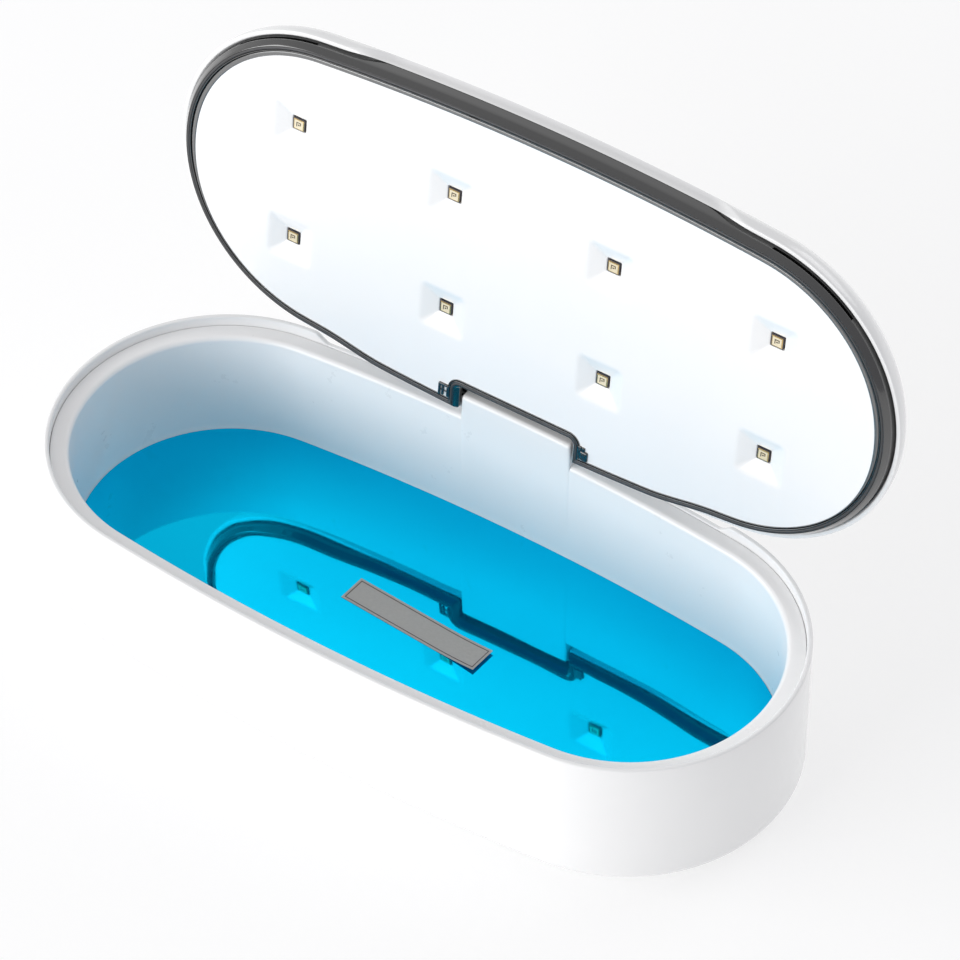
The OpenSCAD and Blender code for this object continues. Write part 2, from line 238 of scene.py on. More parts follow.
def evaluate(obj):
    """Applies an object's modifiers to its mesh."""
    depsgraph = bpy.context.evaluated_depsgraph_get()
    mesh = bpy.data.meshes.new_from_object(obj.evaluated_get(depsgraph))
    obj.modifiers.clear()
    old = obj.data
    obj.data = mesh
    bpy.data.meshes.remove(old)


def cut(obj, *cutters, operation="DIFFERENCE", sharp=38):
    """Takes cutters out of a piece, or joins them to it, and removes them."""
    for cutter in cutters:
        mod = obj.modifiers.new("cut", "BOOLEAN")
        mod.operation = operation
        mod.solver = "EXACT"
        mod.object = cutter
    bpy.context.view_layer.update()
    evaluate(obj)
    for cutter in cutters:
        mesh = cutter.data
        bpy.data.objects.remove(cutter)
        bpy.data.meshes.remove(mesh)
    smooth(obj, sharp)


def rounded_rect(cx, cy, w, h, r, z, steps=5):
    """Points of a rectangle with round corners in the plane z."""
    out = []
    for i, (sx, sy) in enumerate(((1, 1), (-1, 1), (-1, -1), (1, -1))):
        for x, y in arc(cx + sx * (w / 2 - r), cy + sy * (h / 2 - r), r, 90 * i, 90 * i + 90, steps):
            out.append((x, y, z))
    return out


def circle(cx, cy, r, z, n=48):
    return [(cx + r * math.cos(TAU * i / n), cy + r * math.sin(TAU * i / n), z) for i in range(n)]


def stack(bm, loops, mats=(), cap_mat=0):
    """Joins loops one after the other and closes both ends."""
    made = [add_loop(bm, loop) for loop in loops]
    for i, (a, b) in enumerate(zip(made, made[1:])):
        bridge(bm, a, b, mat=mats[i] if i < len(mats) else 0)
    bm.faces.new(made[0])
    bm.faces.new(made[-1]).material_index = cap_mat


def soft_box(bm, x0, x1, y0, y1, z0, z1, r=0.3, corner=None, mat=0, steps=3):
    """A box with all of its edges rounded by r."""
    cx, cy, w, h = (x0 + x1) / 2, (y0 + y1) / 2, x1 - x0, y1 - y0
    corner = corner or r
    loops = []
    for middle, start, end in ((z0 + r, -90, 0), (z1 - r, 0, 90)):
        for a in spread(start, end, steps):
            k = r * (1 - math.cos(math.radians(a)))
            z = middle + r * math.sin(math.radians(a))
            loops.append(rounded_rect(cx, cy, w - 2 * k, h - 2 * k, max(corner - k, 0.02), z, 4))
    stack(bm, loops, [mat] * len(loops), cap_mat=mat)


def lathe(bm, cx, cy, profile, n=64):
    """Turns a profile of (r, z) points round a vertical axis; r 0 closes an end."""
    loops = []
    for r, z in profile:
        loops.append([bm.verts.new(Vector((cx, cy, z)) * MM)] if r == 0
                     else add_loop(bm, circle(cx, cy, r, z, n)))
    for a, b in zip(loops, loops[1:]):
        if len(a) == 1 or len(b) == 1:
            tip, ring = (a[0], b) if len(a) == 1 else (b[0], a)
            for i in range(n):
                bm.faces.new((tip, ring[i], ring[(i + 1) % n]))
        else:
            bridge(bm, a, b)


# ---------------------------------------------------------------- materials
class Nodes:
    """Short ways to build a node material."""

    def __init__(self, name):
        self.mat = bpy.data.materials.new(name)
        self.mat.use_nodes = True
        self.tree = self.mat.node_tree
        self.bsdf = self.tree.nodes["Principled BSDF"]
        self.coords = self.tree.nodes.new("ShaderNodeTexCoord").outputs["Object"]

    def node(self, kind):
        return self.tree.nodes.new(kind)

    def link(self, a, b):
        self.tree.links.new(a, b)

    def set(self, **values):
        for key, value in values.items():
            self.bsdf.inputs[key.replace("_", " ")].default_value = value

    def noise(self, scale, detail=3.0, rough=0.5, stretch=(1, 1, 1), turn=(0, 0, 0)):
        mapping = self.node("ShaderNodeMapping")
        mapping.inputs["Scale"].default_value = stretch
        mapping.inputs["Rotation"].default_value = turn
        self.link(self.coords, mapping.inputs["Vector"])
        n = self.node("ShaderNodeTexNoise")
        n.inputs["Scale"].default_value = scale
        n.inputs["Detail"].default_value = detail
        n.inputs["Roughness"].default_value = rough
        self.link(mapping.outputs[0], n.inputs["Vector"])
        return n.outputs["Fac"]

    def ramp(self, fac, stops):
        r = self.node("ShaderNodeValToRGB")
        for element, stop in zip(r.color_ramp.elements, stops):
            element.position, element.color = stop
        self.link(fac, r.inputs["Fac"])
        return r.outputs["Color"]

    def range(self, fac, lo, hi, a=0.3, b=0.7):
        m = self.node("ShaderNodeMapRange")
        for key, value in (("From Min", a), ("From Max", b), ("To Min", lo), ("To Max", hi)):
            m.inputs[key].default_value = value
        self.link(fac, m.inputs["Value"])
        return m.outputs["Result"]

    def bump(self, height, strength, distance, after=None):
        b = self.node("ShaderNodeBump")
        b.inputs["Strength"].default_value = strength
        b.inputs["Distance"].default_value = distance
        self.link(height, b.inputs["Height"])
        if after:
            self.link(after, b.inputs["Normal"])
        return b.outputs["Normal"]


def grey(v, blue=0.0):
    return (v * (1 - blue), v * (1 - blue * 0.4), v, 1.0)


def moulded(name, dark, light, rough=(0.2, 0.3), coat=0.3, coat_rough=0.08, grain=0.15,
            waves=0.1, ior=1.5, sss=0.0):
    """Moulded plastic: faint colour clouds, uneven gloss, fine grain and slight sink marks."""
    m = Nodes(name)
    clouds = m.noise(14, 4, 0.55)
    m.link(m.ramp(clouds, ((0.3, dark), (0.7, light))), m.bsdf.inputs["Base Color"])
    wear = m.noise(90, 5, 0.65)
    m.link(m.range(wear, rough[0], rough[1]), m.bsdf.inputs["Roughness"])
    fine = m.bump(m.noise(3800, 2, 0.6), grain, 0.00002)
    m.link(m.bump(m.noise(28, 2, 0.4), waves, 0.0002, fine), m.bsdf.inputs["Normal"])
    m.set(Coat_Weight=coat, Coat_Roughness=coat_rough, IOR=ior)
    if sss:
        m.set(Subsurface_Weight=sss, Subsurface_Scale=0.002)
        m.bsdf.inputs["Subsurface Radius"].default_value = (1.0, 0.8, 0.7)
    return m.mat


def metal(name, dark, light, rough=(0.18, 0.32), brush=(1, 60, 60), scale=60, depth=0.12):
    """Bare metal with brush lines and uneven polish."""
    m = Nodes(name)
    lines = m.noise(scale, 6, 0.7, stretch=brush)
    m.link(m.ramp(lines, ((0.3, dark), (0.7, light))), m.bsdf.inputs["Base Color"])
    m.link(m.range(m.noise(140, 4, 0.6), rough[0], rough[1]), m.bsdf.inputs["Roughness"])
    m.link(m.bump(lines, depth, 0.00003), m.bsdf.inputs["Normal"])
    m.set(Metallic=1.0)
    return m.mat


def board_material(name, mask, copper):
    """Circuit board: solder mask with fine tracks and plated pads."""
    m = Nodes(name)
    brick = m.node("ShaderNodeTexBrick")
    brick.inputs["Scale"].default_value = 240
    brick.inputs["Mortar Size"].default_value = 0.06
    brick.inputs["Color1"].default_value = mask
    brick.inputs["Color2"].default_value = [c * 0.9 for c in mask[:3]] + [1]
    brick.inputs["Mortar"].default_value = copper
    m.link(m.coords, brick.inputs["Vector"])
    m.link(brick.outputs["Color"], m.bsdf.inputs["Base Color"])
    m.link(m.range(m.noise(300, 3), 0.3, 0.45), m.bsdf.inputs["Roughness"])
    m.link(m.bump(brick.outputs["Fac"], 0.2, 0.00003), m.bsdf.inputs["Normal"])
    return m.mat


SHELL = moulded("shell_gloss_white", grey(0.83, 0.01), grey(0.87, 0.0),
                (0.18, 0.26), 0.2, 0.06, 0.1, 0.06)
TUB = moulded("tub_satin_white", grey(0.88, 0.0), grey(0.91, 0.0),
              (0.26, 0.36), 0.25, 0.12, 0.2, 0.06)
PANEL = moulded("panel_gloss_white", grey(0.89, 0.004), grey(0.92, 0.002),
                (0.14, 0.2), 0.5, 0.05, 0.08, 0.05)
FRAME = moulded("frame_dark_gloss", grey(0.007), grey(0.011),
                (0.12, 0.2), 1.0, 0.05, 0.15, 0.08, 1.75)
BEAD = moulded("panel_bead_grey", grey(0.07, 0.02), grey(0.09, 0.02),
               (0.14, 0.22), 1.0, 0.05, 0.1, 0.06, 1.9)
SEAL = moulded("seal_soft_grey", (0.035, 0.035, 0.037, 1), (0.06, 0.06, 0.063, 1),
               (0.4, 0.55), 0.1, 0.3, 0.4, 0.2)
RUBBER = moulded("foot_rubber", (0.02, 0.02, 0.021, 1), (0.035, 0.035, 0.036, 1),
                 (0.65, 0.85), 0.0, 0.5, 0.6, 0.3)
BLACK = moulded("black_moulding", (0.01, 0.01, 0.01, 1), (0.02, 0.02, 0.02, 1),
                (0.4, 0.55), 0.0, 0.3, 0.4, 0.1)
STEEL = metal("screw_steel", (0.42, 0.42, 0.43, 1), (0.62, 0.62, 0.63, 1))
PIN = metal("pin_steel", (0.5, 0.5, 0.5, 1), (0.7, 0.7, 0.7, 1), (0.12, 0.22), brush=(60, 1, 60))
MIRROR = metal("mirror_steel", (0.8, 0.8, 0.81, 1), (0.88, 0.88, 0.88, 1), (0.05, 0.1), depth=0.04)
MAGNET = metal("magnet_nickel", (0.45, 0.44, 0.42, 1), (0.6, 0.58, 0.55, 1),
               (0.25, 0.4), brush=(1, 1, 1))
CAN = metal("can_metal", (0.4, 0.4, 0.41, 1), (0.55, 0.55, 0.56, 1), (0.3, 0.45), brush=(1, 1, 40))
SOCKET = metal("socket_steel", (0.5, 0.5, 0.51, 1), (0.72, 0.72, 0.73, 1),
               (0.15, 0.28), brush=(1, 50, 50))
GOLD = metal("lamp_gold", (0.55, 0.38, 0.14, 1), (0.78, 0.58, 0.28, 1),
             (0.2, 0.35), brush=(1, 1, 1))
CERAMIC = moulded("lamp_ceramic", (0.72, 0.62, 0.42, 1), (0.86, 0.78, 0.6, 1),
                  (0.35, 0.5), 0.2, 0.2, 0.3, 0.1)
MARK = moulded("lamp_mark", (0.16, 0.12, 0.04, 1), (0.26, 0.2, 0.08, 1),
               (0.35, 0.5), 0.2, 0.2, 0.3, 0.1)
LAMP_SIDE = moulded("lamp_side", (0.03, 0.026, 0.03, 1), (0.06, 0.05, 0.055, 1),
                    (0.3, 0.45), 0.2, 0.2, 0.2, 0.1)
BOARD_WHITE = board_material("board_white", (0.7, 0.71, 0.7, 1), (0.5, 0.4, 0.2, 1))
BOARD_GREEN = board_material("board_green", (0.02, 0.14, 0.05, 1), (0.04, 0.24, 0.09, 1))


def film_material():
    """Blue film over the mirror plate: a tinted mirror with faint wrinkles and dust, and a faint painted
    blue glow so it shows blue where it reflects something dark.
    """
    m = Nodes("blue_film")
    clouds = m.noise(9, 3, 0.5, stretch=(1, 1.6, 1))
    m.link(m.ramp(clouds, ((0.3, (0.0, 0.54, 0.84, 1)), (0.7, (0.0, 0.61, 0.91, 1)))),
           m.bsdf.inputs["Base Color"])
    dust = m.noise(700, 4, 0.7)
    m.link(m.range(dust, 0.015, 0.05), m.bsdf.inputs["Roughness"])
    wrinkle = m.noise(16, 2, 0.45, stretch=(1, 2.2, 1), turn=(0, 0, 0.5))
    m.link(m.bump(wrinkle, 0.25, 0.0006), m.bsdf.inputs["Normal"])
    m.set(Metallic=0.95, Specular_IOR_Level=0.0)
    # painted light: a faint blue glow in the film, which is no lamp
    m.bsdf.inputs["Emission Color"].default_value = (0.0, 0.12, 0.6, 1)
    m.bsdf.inputs["Emission Strength"].default_value = 0.06
    return m.mat


def label_material(name, dark, light):
    """Printed paper-like tab: fibres and a soft sheen."""
    m = Nodes(name)
    fibre = m.noise(900, 5, 0.7, stretch=(1, 3, 1))
    m.link(m.ramp(fibre, ((0.25, dark), (0.75, light))), m.bsdf.inputs["Base Color"])
    m.link(m.range(fibre, 0.35, 0.5), m.bsdf.inputs["Roughness"])
    m.link(m.bump(fibre, 0.15, 0.00003), m.bsdf.inputs["Normal"])
    m.set(Coat_Weight=0.2, Coat_Roughness=0.2)
    return m.mat


def ring_material():
    """Frosted clear ring that lets the indicator's light through."""
    m = Nodes("ring_clear")
    m.link(m.ramp(m.noise(60, 3), ((0.3, (0.72, 0.8, 0.84, 1)), (0.7, (0.8, 0.87, 0.9, 1)))),
           m.bsdf.inputs["Base Color"])
    m.link(m.range(m.noise(800, 3), 0.25, 0.4), m.bsdf.inputs["Roughness"])
    m.link(m.bump(m.noise(2600, 2), 0.2, 0.00003), m.bsdf.inputs["Normal"])
    m.set(Transmission_Weight=0.35, IOR=1.49, Subsurface_Weight=0.3, Subsurface_Scale=0.001)
    return m.mat


FILM = film_material()
LABEL = label_material("label_paper", (0.36, 0.35, 0.33, 1), (0.46, 0.45, 0.43, 1))
LABEL_EDGE = label_material("label_border", (0.05, 0.03, 0.035, 1), (0.09, 0.06, 0.06, 1))
RING = ring_material()


def finish_piece(obj, mats, body, slot, *nodes):
    """Gives a piece its materials and its body, and hides the nodes it stands for; the slot argument is not
    used.
    """
    for m in mats if isinstance(mats, (list, tuple)) else [mats]:
        obj.data.materials.append(m)
    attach(obj, body)
    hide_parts(*nodes)


# ---------------------------------------------------------------- base shell
EDGE_R = 4.0
LOW_LIP_Z, LOW_LIP_X, LOW_LIP_FADE = LEDGE_Z + 0.25, 69.0, 5.0
LIP_DENSE_X = 64
FEET = [(x, y) for y in (-40, 40) for x in (-62, 62)]
SCREWS = [(x, y) for y in (-28, 28) for x in (-48, 48)]


def lip_top(s):
    """The lip is lower behind the open lid."""
    if s.side != "back":
        return RIM_Z
    return RIM_Z - (RIM_Z - LOW_LIP_Z) * ease((LOW_LIP_X - abs(s.x)) / LOW_LIP_FADE)


def base_profile(s):
    """Round foot, outer wall, lip and the inside of the wall."""
    top = lip_top(s)
    low = FLOOR_Z + EDGE_R
    return ([(EDGE_R + 1.2, FLOOR_Z)] + arc(EDGE_R, low, EDGE_R, -90, -180, 10)
            + [(0, RIM_Z - 5)] + arc(0.6, top - 0.6, 0.6, 180, 90, 5)
            + arc(1.0, top - 0.5, 0.5, 90, 0, 4)
            + [(1.5, LEDGE_Z - 1.7), (2.0, LEDGE_Z - 1.7)]
            + arc(EDGE_R, low, EDGE_R - 2, 180, 270, 8) + [(EDGE_R + 1.2, FLOOR_Z + 2)])


def build_base_shell():
    bm = bmesh.new()
    near = LIP_DENSE_X
    back = [side_station(x, True) for x in
            spread(JOIN_X, near, 12)[1:] + spread(near, -near, 40)[1:] + spread(-near, -JOIN_X, 12)[1:-1]]
    rings = sweep(bm, outline(back), base_profile)
    first = [r[0] for r in rings]
    last = [r[-1] for r in rings]
    open_between(bm, first, last)
    holes = []
    for (x, y), r, rim, depth in ([(p, 5.25, 0.25, 0.7) for p in FEET]
                                  + [(p, 2.5, 0.2, 1.2) for p in SCREWS]):
        loops = [add_loop(bm, circle(x, y, radius, FLOOR_Z + up)) for radius, up in
                 ((r + rim + 0.3, 0), (r + rim, 0), (r + rim * 0.3, rim * 0.3), (r, rim), (r, depth))]
        for a, b in zip(loops, loops[1:]):
            bridge(bm, a, b)
        bm.faces.new(loops[-1])
        holes.append(loops[0])
    fill(bm, [first] + holes)
    fill(bm, [last])
    obj = new_object("base_shell_body", bm)
    bm = bmesh.new()
    soft_box(bm, -TAB_HALF - 0.3, TAB_HALF + 0.3, HALF_W - 8, HALF_W + 6,
             LEDGE_Z - 1.8, RIM_Z + 6, 0.25)
    cut(obj, new_object("slot_cutter", bm))
    finish_piece(obj, SHELL, "base", "shell_white", "base_shell")


# ---------------------------------------------------------------- inner tub with the hinge tab
TUB_IN = 6.8
TUB_T = 1.5
TAB_TOP = LEDGE_Z + 8
SIDE_ROUND = 0.9


def tub_profile(s):
    """Tag 0 is the plain ledge; a tag from 1 to 2 is the tab, more rounded off towards 2."""
    wall_top = LEDGE_Z - 1.5
    under = LEDGE_Z - 1.6
    lower = [(TUB_IN + 1.5, PLATE_Z - 2.2), (TUB_IN - TUB_T, PLATE_Z - 2.2),
             (TUB_IN - TUB_T, under), (1.6, under)]
    inner = [(TUB_IN, wall_top), (TUB_IN, PLATE_Z + 2), (TUB_IN, PLATE_Z - 0.2),
             (TUB_IN + 0.4, PLATE_Z - 0.8), (TUB_IN + 1.5, PLATE_Z - 0.95)]
    if s.tag == 0:
        ledge = ([(1.6, under)] + arc(1.9, LEDGE_Z - 0.3, 0.3, 180, 90, 6)
                 + arc(TUB_IN - 1.5, wall_top, 1.5, 90, 0, 8))
        return lower + ledge + inner
    k = SIDE_ROUND * (1 - math.sqrt(max(0.0, 1 - (s.tag - 1) ** 2)))
    ledge = ([(0.4 + k, under)] + arc(0.4 + 2.2, TAB_TOP - 2.2, 2.2 - k, 180, 90, 6)
             + arc(TUB_IN - 1.4, TAB_TOP - 1.4, 1.4 - k, 90, 0, 8))
    return lower + ledge + inner


def tab_stations():
    """Stations of the back side, doubled at the sides of the tab."""
    def edge(sign):
        return [side_station(sign * (TAB_HALF - SIDE_ROUND + SIDE_ROUND * t), True, 1 + t)
                for t in (1.0, 0.94, 0.8, 0.55, 0.28, 0.0)]
    right = [side_station(x, True) for x in spread(JOIN_X, TAB_HALF, 24)[1:]]
    left = [side_station(x, True) for x in spread(-TAB_HALF, -JOIN_X, 24)[:-1]]
    middle = [side_station(x, True, 1)
              for x in spread(TAB_HALF - SIDE_ROUND, SIDE_ROUND - TAB_HALF, 18)[1:-1]]
    return right + edge(1) + middle + edge(-1)[::-1] + left


def build_tub():
    bm = bmesh.new()
    rings = sweep(bm, outline(tab_stations()), tub_profile)
    first = [r[0] for r in rings]
    last = [r[-1] for r in rings]
    open_between(bm, first, last)
    fill(bm, [first])
    fill(bm, [last])
    obj = new_object("inner_tub_liner", bm, sharp=42)
    finish_piece(obj, TUB, "base", "tub_white", "inner_tub")


# ---------------------------------------------------------------- film and its peel tab
FILM_T = 0.1
TAB_LENGTH, TAB_WIDTH, TAB_COLS = 46.0, 9.0, 46


def film_height(x, y):
    """Slight waves of the film, in millimetres."""
    return (0.012 * math.sin(x * 0.11 + y * 0.05) + 0.01 * math.sin(x * 0.05 - y * 0.13 + 1.2)
            + 0.006 * math.sin(x * 0.23 + y * 0.19 + 0.4))


def build_film():
    bm = bmesh.new()
    stations = outline(end_steps=72, side_steps=48)
    edge = [s.point(TUB_IN + 0.15) for s in stations]
    top = PLATE_Z + FILM_T
    rings = [add_loop(bm, [(x, y, PLATE_Z + 0.01) for x, y in edge]),
             add_loop(bm, [(x * 0.9996, y * 0.9996, top - 0.01) for x, y in edge])]
    for scale in [0.999, 0.995, 0.985] + [0.97 - 0.05 * i for i in range(19)]:
        fade = min(1.0, (1 - scale) * 20)
        spots = [(x * scale, y * scale) for x, y in edge]
        rings.append(add_loop(bm, [(x, y, top + fade * film_height(x, y)) for x, y in spots]))
    for a, b in zip(rings, rings[1:]):
        bridge(bm, a, b)
    centre = bm.verts.new(Vector((0, 0, top + film_height(0, 0))) * MM)
    for i, v in enumerate(rings[-1]):
        bm.faces.new((v, rings[-1][(i + 1) % len(rings[-1])], centre))
    obj = new_object("film_sheet", bm)
    finish_piece(obj, FILM, "base", "blue_film", "protective_film")


def build_label():
    """A tab with a plain border, lifted a little at its free end."""
    bm = bmesh.new()

    def lift(x):
        return 0.12 + 0.9 * max(0.0, (x - 8) / 15) ** 2

    def strip(x0, x1, y0, y1, thick, mat, raise_by):
        xs = spread(x0, x1, TAB_COLS)
        tops = [add_loop(bm, [(x, y, lift(x) + raise_by) for y in (y0, y1)]) for x in xs]
        lows = [add_loop(bm, [(x, y, lift(x) + raise_by - thick) for y in (y0, y1)]) for x in xs]
        for k in range(TAB_COLS):
            for a, b, c, d in ((tops[k][0], tops[k + 1][0], tops[k + 1][1], tops[k][1]),
                               (lows[k][1], lows[k + 1][1], lows[k + 1][0], lows[k][0]),
                               (tops[k][0], lows[k][0], lows[k + 1][0], tops[k + 1][0]),
                               (tops[k + 1][1], lows[k + 1][1], lows[k][1], tops[k][1])):
                bm.faces.new((a, b, c, d)).material_index = mat
        for t, w in ((tops[0], lows[0]), (tops[-1], lows[-1])):
            bm.faces.new((t[0], t[1], w[1], w[0])).material_index = mat

    x, y = TAB_LENGTH / 2, TAB_WIDTH / 2
    strip(-x, x, -y, y, 0.08, 0, 0)
    line, inset = 0.28, 0.7
    x, y = x - inset, y - inset
    for y0 in (-y, y - line):
        strip(-x, x, y0, y0 + line, 0.03, 1, 0.02)
    for x0 in (-x, x - line):
        strip(x0, x0 + line, -y + line, y - line, 0.03, 1, 0.02)
    place = (Matrix.Translation(Vector((-2.6, 1.0, PLATE_Z + FILM_T)) * MM)
             @ Matrix.Rotation(math.radians(-4), 4, "Z"))
    bmesh.ops.transform(bm, matrix=place, verts=bm.verts)
    obj = new_object("film_peel_tab", bm)
    finish_piece(obj, [LABEL, LABEL_EDGE], "base", "label", "film_label")


# ---------------------------------------------------------------- feet and base screws
FOOT_R, FOOT_TOP = 4.98, FLOOR_Z + 0.68
SHANK_R, THREAD_R, THREAD_PITCH = 0.95, 0.72, 0.8


def build_feet():
    for i, (x, y) in enumerate(FEET):
        bm = bmesh.new()
        profile = [(0, FOOT_TOP), (FOOT_R, FOOT_TOP), (FOOT_R, 0.5)]
        profile += [(FOOT_R - 0.5 + r, z) for r, z in arc(0, 0.5, 0.5, 0, -90, 5)]
        profile += [(3.6, 0.0), (3.4, 0.12), (3.0, 0.16), (0, 0.16)]
        lathe(bm, x, y, profile)
        finish_piece(new_object(f"rubber_foot_{i + 1}", bm), RUBBER, "base", "foot_rubber", f"foot_{i + 1}")


def screw(bm, x, y, z_head, z_end, r_head):
    """A screw with a domed head below and a threaded shank. The cross recess is cut afterwards."""
    head = [(0, 0.0), (0.55, 0.0)]
    for a in (35, 50, 65, 80, 90):
        head.append((r_head * math.sin(math.radians(a)), 0.45 * (1 - math.cos(math.radians(a)))))
    head += [(r_head, 0.75), (SHANK_R, 1.05)]
    length = abs(z_end - z_head)
    turns = max(2, int((length - 1.4) / THREAD_PITCH))
    for i in range(turns):
        z = 1.15 + i * (length - 1.6) / turns
        head += [(SHANK_R, z), (THREAD_R, z + 0.3)]
    head += [(0.5, length - 0.1), (0, length)]
    lathe(bm, x, y, [(r, z_head + z) for r, z in head], 32)


def build_base_screws():
    bm = bmesh.new()
    for x, y in SCREWS:
        screw(bm, x, y, FLOOR_Z + 0.15, PLATE_Z - 1.6, 2.1)
    obj = new_object("base_screw_set", bm)
    cutters = []
    for x, y in SCREWS:
        for angle in (0, 90):
            b = bmesh.new()
            soft_box(b, -1.15, 1.15, -0.22, 0.22, FLOOR_Z - 0.5, FLOOR_Z + 0.75, 0.08)
            bmesh.ops.transform(b, matrix=Matrix.Translation(Vector((x, y, 0)) * MM)
                                @ Matrix.Rotation(math.radians(angle + 20), 4, "Z"), verts=b.verts)
            cutters.append(new_object("cross_cutter", b))
    cut(obj, *cutters, sharp=30)
    finish_piece(obj, STEEL, "base", "screw_steel", "base_screws")


# ---------------------------------------------------------------- lid shell
CROWN = 7.0
DOME_D, DOME_Z = 28.0, LID_Z + 0.9
CROWN_START, CROWN_WAY = 30.0, 85.0
SCOOP_H, SCOOP_X, SCOOP_FADE = 4.5, 64.0, 15.0
LID_T = 2.0
RING_HOLE = 8.35


def scoop_share(s):
    """How much of the finger scoop a station of the front side has."""
    return ease((SCOOP_X - abs(s.x)) / SCOOP_FADE) if s.side == "front" else 0.0


def mix(a, b, t):
    """Points between two lists of points."""
    return [(p[0] + (q[0] - p[0]) * t, p[1] + (q[1] - p[1]) * t) for p, q in zip(a, b)]


def dome(angle, thickness=0.0):
    """A point on the domed skin of the lid; 0 degrees is at the rim and 90 on top."""
    a = math.radians(angle)
    return (DOME_D - (DOME_D - thickness) * math.cos(a),
            DOME_Z + (LID_TOP - DOME_Z - thickness) * math.sin(a))


def back_way(s):
    """The way along the edge from the tip of an end towards the hinge."""
    if s.side == "back":
        return END_R * (TAU / 4 - TURN) + JOIN_X - abs(s.x)
    return END_R * math.atan2(abs(s.ny), abs(s.nx)) if s.y > 0 else 0.0


def lid_profile(s):
    """Domed in front and at the ends, with a tighter crown over the hinge."""
    k = scoop_share(s)
    plain = ([(2.0, LID_Z + 1.7), (1.25, LID_Z + 0.1)] + [(1.1, LID_Z), (0.8, LID_Z), (0.5, LID_Z)]
             + arc(0.35, LID_Z + 0.35, 0.35, 270, 180, 5))
    scoop = [(5.5, LEDGE_Z + 6.4), (2.0, LEDGE_Z + 6.3)]
    scoop += [(1.9 + 0.25 * t + 0.7 * math.sin(math.pi * t), LEDGE_Z + 5.4 + SCOOP_H * t)
              for t in (0, 0.1, 0.22, 0.36, 0.5, 0.65, 0.8, 0.92, 1.0)]
    edge = [(a[0] + (b[0] - a[0]) * k * k, a[1] + (b[1] - a[1]) * k) for a, b in zip(plain, scoop)]
    start = math.degrees(math.asin((0.3 + 5.5 * k) / (LID_TOP - DOME_Z)))
    inside = LID_TOP - LID_T
    domed = ([dome(a) for a in spread(start, 84, 15)] + [(DOME_D, LID_TOP), (DOME_D + 1, LID_TOP)]
             + [(DOME_D + 1, inside), (DOME_D, inside)]
             + [dome(a, LID_T) for a in spread(84, 12 + 12 * k, 8)]
             + [(2.1 + 3.4 * k, LID_Z + 2.1 + 2.0 * k)])
    roof = LID_TOP - CROWN
    crowned = ([(0, roof - 1)] + arc(CROWN, roof, CROWN, 180, 90, 14)
               + [(2 * CROWN, LID_TOP), (2 * CROWN + 1, LID_TOP)]
               + [(2 * CROWN + 1, inside), (CROWN, inside)]
               + arc(CROWN, roof, CROWN - LID_T, 90, 180, 8) + [(2.0, roof - 0.8)])
    return edge + mix(domed, crowned, ease((back_way(s) - CROWN_START) / CROWN_WAY))


def build_lid_shell():
    bm = bmesh.new()
    rings = sweep(bm, outline(side_steps=72), lid_profile)
    profile = lid_profile(side_station(0, True))
    high = max(range(len(profile)), key=lambda i: (round(profile[i][1], 3), profile[i][0]))
    tops = [r[high] for r in rings]
    lows = [r[high + 1] for r in rings]
    open_between(bm, tops, lows)
    hole = [add_loop(bm, circle(0, 0, r, z, 72)) for r, z in
            ((RING_HOLE + 0.6, LID_TOP), (RING_HOLE + 0.25, LID_TOP), (RING_HOLE + 0.07, LID_TOP - 0.08),
             (RING_HOLE, LID_TOP - 0.25), (RING_HOLE, LID_TOP - LID_T))]
    for a, b in zip(hole, hole[1:]):
        bridge(bm, a, b)
    fill(bm, [tops, hole[0]])
    fill(bm, [lows, hole[-1]])
    obj = new_object("lid_shell_cover", bm)
    bm = bmesh.new()
    soft_box(bm, -BAY_HALF, BAY_HALF, HALF_W - 5.5, HALF_W + 8, LID_Z - 4, LEDGE_Z + 10, 0.8)
    notch = new_object("notch_cutter", bm)
    bm = bmesh.new()
    soft_box(bm, -HALF_L - 3, -HALF_L + 8, -4.75, 4.75, LEDGE_Z + 6.7, LEDGE_Z + 10.1, 1.2)
    cut(obj, notch, new_object("port_cutter", bm))
    obj.data.transform(OPEN_LID)
    finish_piece(obj, SHELL, "lid", "shell_white", "lid_shell")


# ---------------------------------------------------------------- the lid's mouth path with its bay
def bulge(s):
    """How far the mouth stands out over the lowered back lip."""
    if s.hub:
        return BULGE
    return BULGE * ease((BULGE_X - abs(s.x)) / BULGE_FADE) if s.side == "back" else 0.0


